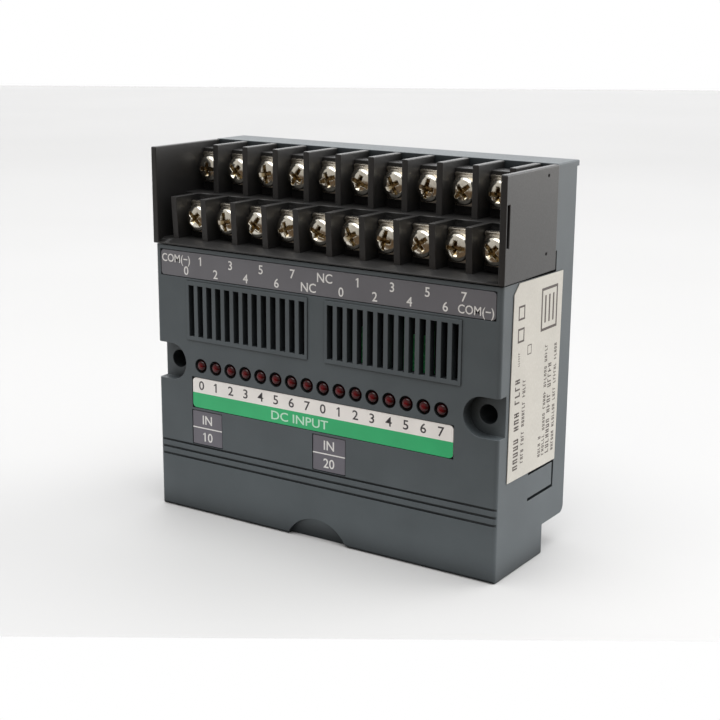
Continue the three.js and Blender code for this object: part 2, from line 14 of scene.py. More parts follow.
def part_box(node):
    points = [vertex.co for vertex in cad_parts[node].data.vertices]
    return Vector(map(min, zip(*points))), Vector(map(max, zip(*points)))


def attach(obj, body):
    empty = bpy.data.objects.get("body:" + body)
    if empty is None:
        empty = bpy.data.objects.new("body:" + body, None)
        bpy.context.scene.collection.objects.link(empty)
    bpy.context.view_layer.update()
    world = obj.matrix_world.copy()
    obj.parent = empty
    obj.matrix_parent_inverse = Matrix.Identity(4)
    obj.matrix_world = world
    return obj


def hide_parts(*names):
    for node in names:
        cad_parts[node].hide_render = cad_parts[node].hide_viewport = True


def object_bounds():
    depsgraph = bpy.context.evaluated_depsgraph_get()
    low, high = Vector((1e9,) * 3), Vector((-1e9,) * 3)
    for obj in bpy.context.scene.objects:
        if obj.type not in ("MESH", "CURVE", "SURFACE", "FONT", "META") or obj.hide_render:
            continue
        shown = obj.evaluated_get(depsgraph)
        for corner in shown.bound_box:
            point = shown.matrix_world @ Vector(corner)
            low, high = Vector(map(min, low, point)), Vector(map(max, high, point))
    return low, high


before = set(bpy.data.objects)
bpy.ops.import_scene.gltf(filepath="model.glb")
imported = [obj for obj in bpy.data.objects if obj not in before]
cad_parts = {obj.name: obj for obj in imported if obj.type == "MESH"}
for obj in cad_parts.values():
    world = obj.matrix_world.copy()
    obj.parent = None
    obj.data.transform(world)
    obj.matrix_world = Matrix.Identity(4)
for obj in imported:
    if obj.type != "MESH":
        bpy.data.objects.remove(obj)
cad_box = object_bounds()

# ---------------------------------------------------------------- dimensions

MM = 0.001
TURN = 2 * math.pi
X, Y, Z = range(3)
SEED = 7                          # of the sticker's marks

LENS = 72.15
SENSOR = 36
CAMERA_PLACE = Vector((208.19, -316.96, 141.58)) * MM
CAMERA_AZIMUTH = math.radians(33.207)
CAMERA_DOWN = math.radians(14.168)
CAMERA_ROLL = math.radians(0.411)

MERGE = 0.001 * MM                # vertices this close are one
FLAT = math.radians(0.5)          # faces this near to level are one flat face
SHARP = math.radians(30)          # edges that bend further are rounded or stay creased
WIDE_EDGE = 0.4 * MM              # rounding of a part's outermost edges
FINE_EDGE = 0.13 * MM             # rounding of every other outer edge
HAIR_EDGE = 0.04 * MM             # rounding of edges in a narrow strip

PITCH = 10.16 * MM
LED_PITCH = PITCH / 2
TERMINALS_PER_ROW = 10
LED_COUNT = 16
CHANNELS = 8                      # numbered from 0 in each half of the indicator row
TIERS = ("upper", "lower")
HEAD_RADIUS = 3.5 * MM
HEAD_HEIGHT = 2.5 * MM
THREAD_RADIUS = 1.75 * MM
THREAD_ROOT = 1.38 * MM
THREAD_PITCH = 0.6 * MM
THREAD_LENGTH = 6.8 * MM
SCREW_TURN = 0.7                  # each screw stops this much further round than the last

MOUNT_Z = 42.6 * MM               # heights of the holes that a flat face's cuts pass through
TONGUE_Z = 20.9 * MM
VENT_Z = 57.85 * MM
BOSS_Z = 92 * MM
END_SLOT_Z = 89.5 * MM
STRIP_Z = 19.87 * MM              # the narrow strip between the top groove and the input labels
BOSS_X = 40 * MM
BLOCK_PROUD = 0.4 * MM            # the terminal block stands this far in front of the cover
BLOCK_DEPTH = 27.1 * MM           # from the cover's front face to the back of the end walls
BLOCK_FOOT = 75.5 * MM            # height of the end walls' lower edge
DIMPLE_DEPTH = 21.4 * MM          # from the cover's front face to the end walls' dimples
BOARD_SINK = 0.05 * MM            # how far small parts are let into a board

FILM = 0.02 * MM                  # thickness of print
LABEL_GAP = 0.12 * MM             # from a front label's edge to its recess
INK = 0.01                        # half the thickness of lettering, in font units
INK_SPREAD = 0.009                # how far its strokes are fattened, in font units

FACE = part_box("terminal_block")[0].y + BLOCK_PROUD  # the cover's front face


# ---------------------------------------------------------------- materials

COLOUR_A, COLOUR_B, COLOUR_RESULT = 6, 7, 2         # a Mix node's colour sockets
NOISE_LOW, NOISE_HIGH = 0.3, 0.7                    # most of a noise lies between these
WHITE = (1, 1, 1)


class Finish:
    """A Principled material, with short ways to feed its sockets from procedural nodes."""

    def __init__(self, name, **values):
        self.material = bpy.data.materials.new(name)
        self.material.use_nodes = True
        self.tree = self.material.node_tree
        self.shader = self.tree.nodes["Principled BSDF"]
        self.place = self.add("ShaderNodeTexCoord").outputs["Object"]
        for socket, value in values.items():
            self.shader.inputs[socket.replace("_", " ")].default_value = value

    def add(self, kind, **settings):
        node = self.tree.nodes.new(kind)
        for key, value in settings.items():
            setattr(node, key, value)
        return node

    def join(self, source, socket):
        self.tree.links.new(source, socket)

    def feed(self, source, name):
        self.join(source, self.shader.inputs[name])

    def stretched(self, x, y, z):
        """Object coordinates multiplied by a different amount along each axis."""
        node = self.add("ShaderNodeMapping")
        node.inputs["Scale"].default_value = (x, y, z)
        self.join(self.place, node.inputs["Vector"])
        return node.outputs["Vector"]

    def noise(self, size, detail=2.0, roughness=0.5, place=None):
        """Noise whose lumps are about size metres across."""
        node = self.add("ShaderNodeTexNoise")
        node.inputs["Scale"].default_value = 1 / size
        node.inputs["Detail"].default_value = detail
        node.inputs["Roughness"].default_value = roughness
        self.join(place or self.place, node.inputs["Vector"])
        return node.outputs["Fac"]

    def ramp(self, source, *stops):
        """A colour ramp through (position, colour) stops."""
        node = self.add("ShaderNodeValToRGB")
        elements = node.color_ramp.elements
        while len(elements) < len(stops):
            elements.new(0.5)
        for element, (position, colour) in zip(elements, stops):
            element.position = position
            element.color = (*colour, 1)
        self.join(source, node.inputs["Fac"])
        return node.outputs["Color"]

    def mottled(self, noise, colour, dark, light=1.0):
        """A colour that drifts with a noise between dark times and light times itself."""
        dark_stop = (NOISE_LOW, shade(colour, dark))
        return self.ramp(noise, dark_stop, (NOISE_HIGH, shade(colour, light)))

    def span(self, source, low, high, start=NOISE_LOW, end=NOISE_HIGH):
        """source from start to end, as a value from low to high."""
        node = self.add("ShaderNodeMapRange")
        node.inputs["From Min"].default_value = start
        node.inputs["From Max"].default_value = end
        node.inputs["To Min"].default_value = low
        node.inputs["To Max"].default_value = high
        self.join(source, node.inputs["Value"])
        return node.outputs["Result"]

    def blend(self, factor, first, second):
        """The first colour where factor is 0, the second where it is 1."""
        node = self.add("ShaderNodeMix", data_type="RGBA")
        self.join(factor, node.inputs["Factor"])
        self.join(first, node.inputs[COLOUR_A])
        self.join(second, node.inputs[COLOUR_B])
        return node.outputs[COLOUR_RESULT]

    def bump(self, height, strength, depth):
        """Normals tilted as if the surface rose by depth metres where height is 1."""
        node = self.add("ShaderNodeBump")
        node.inputs["Strength"].default_value = strength
        node.inputs["Distance"].default_value = depth
        self.join(height, node.inputs["Height"])
        return node.outputs["Normal"]


def shade(colour, by):
    """A colour made darker or lighter."""
    return tuple(channel * by for channel in colour)


def moulded(name, colour, roughness, grain, depth, specular=0.5, recess=0.25):
    """Moulded plastic: a fine spark-eroded grain, a colour that drifts slightly, and painted shade
    in its recesses, where the colour falls to recess times itself and the gloss fades."""
    finish = Finish(name, Specular_IOR_Level=specular)
    drift = finish.noise(14 * MM, 3)
    plain = finish.mottled(drift, colour, 0.92, 1.08)
    shaded_hollow = finish.mottled(drift, shade(colour, recess), 0.92)
    # painted shade: an occlusion mask darkens the colour and fades the gloss in recesses
    occlusion = finish.add("ShaderNodeAmbientOcclusion", samples=6)
    occlusion.inputs["Distance"].default_value = 8 * MM
    openness = occlusion.outputs["AO"]
    finish.feed(finish.blend(finish.span(openness, 0, 1, 0.45, 0.92), shaded_hollow, plain), "Base Color")
    finish.feed(finish.span(openness, 0.3 * specular, specular), "Specular IOR Level")
    texture = finish.noise(grain, 2, 0.6)
    finish.feed(finish.span(texture, roughness - 0.07, roughness + 0.07), "Roughness")
    finish.feed(finish.bump(texture, 0.5, depth), "Normal")
    return finish.material


def plating_with_painted_shade(name, colour, shade_tint, low, high):
    """Bright plating on a screw head, with painted brown shade in the recess, from its rim down.
    """
    finish = Finish(name, Metallic=1.0)
    cloud = finish.noise(0.9 * MM, 3)
    split = finish.add("ShaderNodeSeparateXYZ")
    finish.join(finish.place, split.inputs["Vector"])
    across = finish.add("ShaderNodeVectorMath", operation="LENGTH")
    finish.join(finish.stretched(1, 0, 1), across.inputs[0])
    inside = finish.span(across.outputs["Value"], 1, 0, 2.5 * MM, 2.9 * MM)
    # painted shade: deeper inside the drive recess the plating turns dark brown
    recess_shade_mask = finish.add("ShaderNodeMath", operation="MULTIPLY")
    finish.join(finish.span(split.outputs["Y"], 0, 1, 0.3 * MM, 0.9 * MM), recess_shade_mask.inputs[0])
    finish.join(inside, recess_shade_mask.inputs[1])
    clean = finish.mottled(cloud, colour, 0.8)
    painted_shade = finish.mottled(cloud, shade_tint, 0.5)
    finish.feed(finish.blend(recess_shade_mask.outputs[0], clean, painted_shade), "Base Color")
    finish.feed(finish.span(cloud, low, high), "Roughness")
    dents = finish.noise(0.5 * MM, 2, 0.6)
    finish.feed(finish.bump(dents, 0.3, 0.03 * MM), "Normal")
    return finish.material


def plated(name, colour, low, high, scratch=(1, 1, 1)):
    """Bright plating over metal: faint cloudiness, and fine scratches along one axis."""
    finish = Finish(name, Metallic=1.0)
    cloud = finish.noise(1.6 * MM, 3)
    finish.feed(finish.mottled(cloud, colour, 0.86), "Base Color")
    finish.feed(finish.span(cloud, low, high), "Roughness")
    lines = finish.noise(0.12 * MM, 2, 0.6, finish.stretched(*scratch))
    finish.feed(finish.bump(lines, 0.25, 0.01 * MM), "Normal")
    return finish.material


def printed(name, colour):
    """A thin layer of ink: slightly mottled, slightly uneven."""
    finish = Finish(name)
    mottle = finish.noise(0.35 * MM, 3, 0.6)
    finish.feed(finish.mottled(mottle, colour, 0.88), "Base Color")
    finish.feed(finish.span(mottle, 0.39, 0.51), "Roughness")
    finish.feed(finish.bump(mottle, 0.2, 0.01 * MM), "Normal")
    return finish.material


def film(name, colour):
    """Printed polyester film with a faint orange peel."""
    finish = Finish(name)
    finish.feed(finish.mottled(finish.noise(9 * MM, 3), colour, 0.94, 1.04), "Base Color")
    peel = finish.noise(0.6 * MM, 3, 0.6)
    finish.feed(finish.span(peel, 0.35, 0.45), "Roughness")
    finish.feed(finish.bump(peel, 0.3, 0.015 * MM), "Normal")
    return finish.material


def paper(name, colour):
    """Cream label stock: short fibres, a little soiled."""
    finish = Finish(name, Specular_IOR_Level=0.3)
    clean = finish.mottled(finish.noise(11 * MM, 4, 0.6), colour, 0.9)
    fibre = finish.noise(0.3 * MM, 4, 0.7, finish.stretched(1, 1, 0.35))
    pulp = finish.ramp(fibre, (0, shade(colour, 0.8)), (1, WHITE))
    finish.feed(finish.blend(finish.span(fibre, 0, 0.25), clean, pulp), "Base Color")
    finish.feed(finish.span(fibre, 0.5, 0.65), "Roughness")
    finish.feed(finish.bump(fibre, 0.3, 0.02 * MM), "Normal")
    return finish.material


def solder_mask(name, mask, copper):
    """Solder mask over copper tracks, which show as slightly lighter raised lines."""
    finish = Finish(name, Coat_Weight=0.4)
    cells = finish.add("ShaderNodeTexVoronoi", feature="DISTANCE_TO_EDGE")
    cells.inputs["Scale"].default_value = 1 / (2.6 * MM)
    finish.join(finish.place, cells.inputs["Vector"])
    track = finish.span(cells.outputs["Distance"], 1, 0, 0.05, 0.09)
    drift = finish.noise(5 * MM, 2)
    plain = finish.mottled(drift, mask, 0.85)
    plated_over = finish.mottled(drift, copper, 0.9)
    finish.feed(finish.blend(track, plain, plated_over), "Base Color")
    finish.feed(finish.span(drift, 0.28, 0.4), "Roughness")
    finish.feed(finish.bump(track, 0.6, 0.04 * MM), "Normal")
    return finish.material


def tinted_lens(name, rim, heart):
    """Tinted epoxy with its lit-up cup showing faintly in the middle."""
    finish = Finish(name, Roughness=0.1, Specular_IOR_Level=0.28)
    across = finish.add("ShaderNodeVectorMath", operation="LENGTH")
    finish.join(finish.stretched(1 / (1.5 * MM), 0, 1 / (1.5 * MM)), across.inputs[0])
    haze = finish.noise(0.5 * MM, 2)
    edge = finish.add("ShaderNodeMath", operation="ADD")
    finish.join(across.outputs["Value"], edge.inputs[0])
    finish.join(finish.span(haze, -0.06, 0.06), edge.inputs[1])
    finish.feed(finish.ramp(edge.outputs[0], (0.25, heart), (0.75, rim)), "Base Color")
    return finish.material


# each moulded finish below paints shade into its recesses; recess says how dark it gets
SLATE = moulded("slate_plastic", (0.078, 0.092, 0.1), 0.5, 0.28 * MM, 0.03 * MM,
                specular=0.35, recess=0.28)
BLACK = moulded("black_plastic", (0.0205, 0.02, 0.0198), 0.4, 0.3 * MM, 0.025 * MM,
                specular=0.42, recess=0.85)
DARK_PLASTIC = moulded("connector_plastic", (0.012, 0.012, 0.013), 0.48, 0.22 * MM, 0.02 * MM)
# a black ring's plastic, darkened further as painted shade of the indicator holes
BEZEL_BLACK_AND_SHADE = moulded("bezel_black_and_shade", (0.003, 0.003, 0.003), 0.5, 0.2 * MM, 0.01 * MM, specular=0.2)
# painted shade: the black of the gaps beside the terminal block's end walls
GAP_SHADE = moulded("painted_gap_shade", (0.003, 0.003, 0.003), 0.85, 0.2 * MM, 0.01 * MM, specular=0.03)
EPOXY = moulded("chip_epoxy", (0.014, 0.014, 0.015), 0.6, 0.12 * MM, 0.02 * MM)
CERAMIC = moulded("resistor_ceramic", (0.32, 0.29, 0.24), 0.45, 0.2 * MM, 0.01 * MM)
NICKEL = plated("bright_nickel", (0.74, 0.68, 0.58), 0.13, 0.24)
# its brown second colour is painted shade in the drive recess
SCREW_NICKEL = plating_with_painted_shade("screw_nickel", (0.76, 0.72, 0.63), (0.46, 0.36, 0.2), 0.1, 0.22)
STAMPED = plated("stamped_nickel", (0.72, 0.66, 0.56), 0.2, 0.34, (0.25, 1, 4))
TINNED = plated("tinned_leads", (0.66, 0.66, 0.64), 0.28, 0.42)
GOLD = plated("gold_pins", (0.86, 0.6, 0.24), 0.2, 0.32)
MASK = solder_mask("solder_mask", (0.02, 0.3, 0.09), (0.06, 0.45, 0.15))
LENS_RED = tinted_lens("red_lens", (0.02, 0.001, 0.0015), (0.1, 0.003, 0.005))
LABEL_SLATE = film("dark_film", (0.14, 0.139, 0.153))
LABEL_PURPLE = film("purple_film", (0.13, 0.124, 0.146))
LABEL_WHITE = film("white_film", (0.86, 0.83, 0.8))
LABEL_GREEN = film("green_film", (0.03, 0.43, 0.16))
CREAM = paper("cream_label", (0.5, 0.48, 0.43))
WHITE_INK = printed("white_ink", (0.78, 0.77, 0.75))
PALE_INK = printed("pale_green_ink", (0.56, 0.84, 0.66))
DARK_INK = printed("dark_ink", (0.05, 0.045, 0.05))
BROWN_INK = printed("brown_ink", (0.05, 0.032, 0.024))


# ---------------------------------------------------------------- mesh helpers

def linked(name, data):
    """A new object in the scene."""
    piece = bpy.data.objects.new(name, data)
    bpy.context.scene.collection.objects.link(piece)
    return piece


def seated(piece, body="module", nodes=()):
    """The piece rides on its body and stands for its CAD nodes, which are hidden."""
    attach(piece, body)
    if nodes:
        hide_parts(*nodes)


def mesh_of(name, shape, *finishes):
    """A bmesh as a smooth-shaded mesh with its materials."""
    bmesh.ops.recalc_face_normals(shape, faces=shape.faces)
    mesh = bpy.data.meshes.new(name)
    shape.to_mesh(mesh)
    shape.free()
    for finish in finishes:
        mesh.materials.append(finish)
    for face in mesh.polygons:
        face.use_smooth = True
    return mesh


def soften(piece, width):
    """Rounds a piece's edges and keeps its flat faces looking flat."""
    bevel = piece.modifiers.new("rounding", "BEVEL")
    bevel.limit_method = "ANGLE"
    bevel.angle_limit = SHARP
    bevel.width = width
    bevel.segments = 2
    bevel.use_clamp_overlap = True
    piece.modifiers.new("normals", "WEIGHTED_NORMAL").keep_sharp = False


def rest_on_hull(point, low, high):
    """How many of a box's faces a point lies on."""
    near = 0.06 * MM
    return sum(min(abs(point[k] - low[k]), abs(point[k] - high[k])) < near for k in range(3))


def join_flats(shape, cuts):
    """Joins the triangles of each flat face. Straight cuts, as (axis, place) pairs, stay in it:
    they pass through its holes, so that no face is left with a hole inside its outline."""
    bmesh.ops.remove_doubles(shape, verts=shape.verts, dist=MERGE)
    for axis, place in cuts:
        normal = Vector(float(k == axis) for k in range(3))
        bmesh.ops.bisect_plane(shape, geom=[*shape.verts, *shape.edges, *shape.faces],
                               dist=MERGE, plane_co=normal * place, plane_no=normal)

    def on_cut(edge):
        return any(all(abs(vertex.co[axis] - place) < 2 * MERGE for vertex in edge.verts)
                   for axis, place in cuts)

    inner = [edge for edge in shape.edges
             if abs(edge.calc_face_angle_signed(1)) < FLAT and not on_cut(edge)]
    bmesh.ops.dissolve_edges(shape, edges=inner, use_verts=True)


def room_beside(edge):
    """The distance from an edge to the nearest vertex beside it, on the faces that it joins."""
    start = edge.verts[0].co
    length = edge.calc_length()
    along = (edge.verts[1].co - start) / length
    nearest = math.inf
    for face in edge.link_faces:
        for vertex in face.verts:
            offset = vertex.co - start
            travel = offset.dot(along)
            aside = (offset - along * travel).length
            if aside > MERGE and -MERGE < travel < length + MERGE:
                nearest = min(nearest, aside)
    return nearest


def from_node(node, name, finish, wide=WIDE_EDGE, fine=FINE_EDGE, cuts=(), tight=None):
    """A CAD node's shape with its triangles joined into faces and its edges rounded, hardly at
    all where they lie close beside each other at the height called tight."""
    shape = bmesh.new()
    shape.from_mesh(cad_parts[node].data)
    join_flats(shape, cuts)
    low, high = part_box(node)
    weight = shape.edges.layers.float.new("bevel_weight_edge")
    for edge in shape.edges:
        bend = edge.calc_face_angle_signed(0)
        middle = (edge.verts[0].co + edge.verts[1].co) / 2
        edge.smooth = abs(bend) < SHARP
        if bend > SHARP:
            width = wide if rest_on_hull(middle, low, high) > 1 else fine
            if tight and abs(middle.z - tight) < 0.2 * MM:
                width = HAIR_EDGE
            edge[weight] = min(width, 0.4 * room_beside(edge)) / wide
            edge.smooth = True
    piece = linked(name, mesh_of(name, shape, finish))
    bevel = piece.modifiers.new("rounding", "BEVEL")
    bevel.limit_method = "WEIGHT"
    bevel.width = wide
    bevel.segments = 3
    bevel.use_clamp_overlap = False
    piece.modifiers.new("normals", "WEIGHTED_NORMAL").keep_sharp = True
    seated(piece, nodes=[node])


def add_box(shape, low, high):
    """A box between two corners; returns its vertices."""
    low, high = Vector(low), Vector(high)
    place = Matrix.Translation((low + high) / 2) @ Matrix.Diagonal((*(high - low), 1))
    return bmesh.ops.create_cube(shape, size=1, matrix=place)["verts"]


def add_prism(shape, outline, depth):
    """A flat outline of points and the same outline moved by depth, with walls between."""
    depth = Vector(depth)
    near = [shape.verts.new(point) for point in outline]
    far = [shape.verts.new(Vector(point) + depth) for point in outline]
    shape.faces.new(near)
    shape.faces.new(list(reversed(far)))
    for k in range(len(near)):
        shape.faces.new([near[k], near[k - 1], far[k - 1], far[k]])


def rounded(low, high, corner):
    """A rectangle's outline as (a, b) points, with round corners."""
    steps = 5
    points = []
    centres = [(high[0] - corner, low[1] + corner), (high[0] - corner, high[1] - corner),
               (low[0] + corner, high[1] - corner), (low[0] + corner, low[1] + corner)]
    for quarter, (a, b) in enumerate(centres):
        for step in range(steps + 1):
            angle = (quarter - 1 + step / steps) * TURN / 4
            points.append((a + corner * math.cos(angle), b + corner * math.sin(angle)))
    return points


def add_lathe(shape, profile, segments, centre=(0, 0, 0)):
    """A profile of (radius, y) points turned about Y; a radius may be a function of the angle."""
    centre = Vector(centre)
    rings = []
    for radius, y in profile:
        ring = []
        for k in range(1 if radius == 0 else segments):
            angle = TURN * k / segments
            reach = radius(angle) if callable(radius) else radius
            point = Vector((reach * math.cos(angle), y, reach * math.sin(angle)))
            ring.append(shape.verts.new(centre + point))
        rings.append(ring)
    for near, far in zip(rings, rings[1:]):
        for k in range(segments):
            n = (k + 1) % segments
            corners = [near[k % len(near)], near[n % len(near)],
                       far[n % len(far)], far[k % len(far)]]
            shape.faces.new(list(dict.fromkeys(corners)))


def turned(profile, segments):
    """A bmesh of one lathed profile."""
    shape = bmesh.new()
    add_lathe(shape, profile, segments)
    return shape


def cut(body, cutter):
    """What is left of one bmesh when another is taken from it, worked out in millimetres."""
    for shape in (body, cutter):
        bmesh.ops.scale(shape, vec=(1 / MM,) * 3, verts=shape.verts)
    whole = linked("whole", mesh_of("whole", body))
    taken = linked("cutter", mesh_of("cutter", cutter))
    boolean = whole.modifiers.new("cut", "BOOLEAN")
    boolean.operation = "DIFFERENCE"
    boolean.solver = "EXACT"
    boolean.object = taken
    evaluated = whole.evaluated_get(bpy.context.evaluated_depsgraph_get())
    result = bpy.data.meshes.new_from_object(evaluated)
    left = bmesh.new()
    left.from_mesh(result)
    bmesh.ops.scale(left, vec=(MM,) * 3, verts=left.verts)
    bpy.data.objects.remove(whole)
    bpy.data.objects.remove(taken)
    bpy.data.meshes.remove(result)
    return left


def crease(shape):
    """Marks the edges that bend sharply, so that the faces beside them are shaded apart."""
    for edge in shape.edges:
        edge.smooth = abs(edge.calc_face_angle_signed(0)) < SHARP
    return shape


def eased(shape, width):
    """A bmesh with its outward edges rounded and what is still sharp marked."""
    bmesh.ops.recalc_face_normals(shape, faces=shape.faces)
    proud = [edge for edge in shape.edges if edge.calc_face_angle_signed(0) > SHARP]
    bmesh.ops.bevel(shape, geom=proud, offset=width, segments=2, profile=0.5, affect="EDGES",
                    clamp_overlap=True)
    return crease(shape)


def lettering(text):
    """A word as a flat mesh in font units, its baseline on x, and its middle at x = 0.
    The font's 1 is a bare stroke, so a flag is added to a leading 1."""
    curve = bpy.data.curves.new("lettering", "FONT")
    curve.body = text
    curve.align_x = "CENTER"
    curve.resolution_u = 3
    curve.extrude = INK
    curve.offset = INK_SPREAD
    holder = linked("lettering", curve)
    mesh = bpy.data.meshes.new_from_object(holder)
    bpy.data.objects.remove(holder)
    bpy.data.curves.remove(curve)
    if text.startswith("1"):
        shape = bmesh.new()
        shape.from_mesh(mesh)
        left = min(vertex.co.x for vertex in mesh.vertices)
        top = max(vertex.co.y for vertex in mesh.vertices)
        flag = [(0.02, 0), (-0.13, 0.12), (-0.13, 0.21), (0.02, 0.13)]
        add_prism(shape, [(left + a, top - b, -INK) for a, b in flag], (0, 0, 2 * INK))
        shape.to_mesh(mesh)
        shape.free()
    return mesh


CAP = max(vertex.co.y for vertex in lettering("H").vertices)     # a capital's height


def add_text(shape, text, place, height, align=0, stretch=1.0, finish=0):
    """Raised lettering on a front face. place is its middle, or its left or right end where
    align is -1 or 1."""
    mesh = lettering(text)
    scale = height / CAP
    reach = max(vertex.co.x for vertex in mesh.vertices) * scale * stretch
    shift = Vector(place) + Vector((-align * reach, 0, -height / 2))
    flat = Matrix.Diagonal((scale * stretch, scale, FILM / (2 * INK), 1))
    stand = Matrix.Rotation(TURN / 4, 4, "X")
    mesh.transform(Matrix.Translation(shift) @ stand @ flat)
    before = len(shape.faces)
    shape.from_mesh(mesh)
    shape.faces.ensure_lookup_table()
    for face in shape.faces[before:]:
        face.material_index = finish
    bpy.data.meshes.remove(mesh)


# ---------------------------------------------------------------- camera, light and floor

ROOM_FRONT = (0.53, 0.51, 0.487)  # the studio before the object
ROOM_BACK = (1.25, 1.26, 1.28)    # and behind it
ROOM_BELOW = (0.25, 0.18, 0.12)   # what is left of either below the floor's level
HORIZON = (-0.06, 0.03)           # that sets in between these sines of the elevation
FLOOR_NEAR = 0.302                # the floor's edges, level distances from the camera
FLOOR_FAR = 2.32
FLOOR_HALF_WIDTH = 1.2
FLOOR_TONE = (0.54, 0.54, 0.54)
# painted shade: the floor's colour darkens over these distances, as the light on it falls off
FADE_NEAR = 0.3                   # the floor gets greyer between these distances
FADE_FAR = 1.3


def add_camera():
    """The camera, aimed by its azimuth and by how far it looks down, then rolled."""
    data = bpy.data.cameras.new("camera")
    data.lens = LENS
    data.sensor_width = SENSOR
    camera = linked("camera", data)
    camera.location = CAMERA_PLACE
    level = math.cos(CAMERA_DOWN)
    aim = Vector((-math.sin(CAMERA_AZIMUTH) * level, math.cos(CAMERA_AZIMUTH) * level,
                  -math.sin(CAMERA_DOWN)))
    turn = aim.to_track_quat("-Z", "Y") @ Quaternion((0, 0, 1), CAMERA_ROLL)
    camera.rotation_euler = turn.to_euler()
    bpy.context.scene.camera = camera


def add_world():
    """A white studio, dimmer in front of the object than behind it and dark below the floor's
    level, seen by the camera as a plain white backdrop."""
    world = bpy.data.worlds.new("studio")
    bpy.context.scene.world = world
    world.use_nodes = True
    nodes, links = world.node_tree.nodes, world.node_tree.links
    room = nodes["Background"]
    split = nodes.new("ShaderNodeSeparateXYZ")
    links.new(nodes.new("ShaderNodeTexCoord").outputs["Generated"], split.inputs["Vector"])

    def tones(axis, low, high, stops):
        """Two colours, with a ramp between them, by one part of the view's direction."""
        place = nodes.new("ShaderNodeMapRange")
        place.inputs["From Min"].default_value = low
        place.inputs["From Max"].default_value = high
        ramp = nodes.new("ShaderNodeValToRGB")
        links.new(split.outputs[axis], place.inputs["Value"])
        links.new(place.outputs["Result"], ramp.inputs["Fac"])
        for element, colour in zip(ramp.color_ramp.elements, stops):
            element.color = (*colour, 1)
        return ramp.outputs["Color"]

    depth = tones("Y", -1, 1, (ROOM_FRONT, ROOM_BACK))
    height = tones("Z", *HORIZON, (ROOM_BELOW, WHITE))
    both = nodes.new("ShaderNodeMix")
    both.data_type = "RGBA"
    both.blend_type = "MULTIPLY"
    both.inputs["Factor"].default_value = 1
    links.new(depth, both.inputs[COLOUR_A])
    links.new(height, both.inputs[COLOUR_B])
    links.new(both.outputs[COLOUR_RESULT], room.inputs["Color"])
    backdrop = nodes.new("ShaderNodeBackground")
    backdrop.inputs["Color"].default_value = (*WHITE, 1)
    choice = nodes.new("ShaderNodeMixShader")
    links.new(nodes.new("ShaderNodeLightPath").outputs["Is Camera Ray"], choice.inputs["Fac"])
    links.new(room.outputs["Background"], choice.inputs[1])
    links.new(backdrop.outputs["Background"], choice.inputs[2])
    links.new(choice.outputs["Shader"], nodes["World Output"].inputs["Surface"])


def add_sun(name, towards, power, spread, colour=WHITE):
    """A very large, distant softbox, seen from the object in one direction."""
    data = bpy.data.lights.new(name, "SUN")
    data.energy = power
    data.angle = math.radians(spread)
    data.color = colour
    lamp = linked(name, data)
    lamp.location = Vector(towards)
    lamp.rotation_euler = Vector(towards).to_track_quat("Z", "Y").to_euler()


def add_lights():
    """Soft light from above, from behind on the right, and a little from behind on the left."""
    add_sun("overhead", (0.05, -0.2, 1), 2.4, 60)
    add_sun("window_right", (0.62, 0.72, 0.24), 2.1, 50, (1, 0.985, 0.96))
    add_sun("rim", (-0.55, 0.84, 0.36), 0.3, 40)


def add_floor():
    """A sheet of pale paper, laid along the camera's aim, with painted shade that makes it a
    little greyer at its far end.
    """
    finish = Finish("paper_sweep", Roughness=0.7, Specular_IOR_Level=0.2)
    split = finish.add("ShaderNodeSeparateXYZ")
    finish.join(finish.place, split.inputs["Vector"])
    # painted shade: the far colour stands for the light falling off away from the object
    distance = finish.span(split.outputs["Y"], 0, 1, FADE_NEAR, FADE_FAR)
    tone = finish.noise(0.2, 2)
    near = finish.mottled(tone, FLOOR_TONE, 0.98)
    far = finish.mottled(tone, FLOOR_TONE, 0.79, 0.81)
    finish.feed(finish.blend(distance, near, far), "Base Color")
    shape = bmesh.new()
    place = Matrix.Translation((0, (FLOOR_NEAR + FLOOR_FAR) / 2, 0))
    size = Matrix.Diagonal((FLOOR_HALF_WIDTH, (FLOOR_FAR - FLOOR_NEAR) / 2, 1, 1))
    bmesh.ops.create_grid(shape, x_segments=8, y_segments=8, size=1, matrix=place @ size)
    floor = linked("floor", mesh_of("floor", shape, finish.material))
    floor.location = (CAMERA_PLACE.x, CAMERA_PLACE.y, cad_box[0].z)
    floor.rotation_euler.z = CAMERA_AZIMUTH


# ---------------------------------------------------------------- housings

def led_places():
    """x of each indicator, from the middle of their holder."""
    low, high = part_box("led_strip")
    first = (low.x + high.x) / 2 - LED_PITCH * (LED_COUNT - 1) / 2
    return [first + LED_PITCH * i for i in range(LED_COUNT)]


def screw_place(tag):
    """The front of a terminal screw's head, on its own axis."""
    low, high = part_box(f"terminal_screw_{tag}")
    return Vector(((low.x + high.x) / 2, low.y, (low.z + high.z) / 2))


def add_housings():
    """The case, its rear cover and the terminal block, and what is too fine for their solids."""
    case_cuts = [(X, x) for x in led_places()]
    case_cuts += [(Z, z) for z in (MOUNT_Z, TONGUE_Z, VENT_Z, BOSS_Z)]
    from_node("case_shell", "case", SLATE, cuts=case_cuts, tight=STRIP_Z)
    from_node("back_cover", "rear_cover", SLATE, 0.25 * MM, cuts=[(Z, MOUNT_Z)])
    add_rear_marks()
    screws = [screw_place(f"{tier}_{i + 1}").x for tier in TIERS for i in range(TERMINALS_PER_ROW)]
    block_cuts = [(X, x) for x in screws] + [(Z, END_SLOT_Z), (Y, FACE + DIMPLE_DEPTH)]
    from_node("terminal_block", "terminal_housing", BLACK, 0.35 * MM, 0.22 * MM,
              block_cuts)
    add_block_gap_shades()


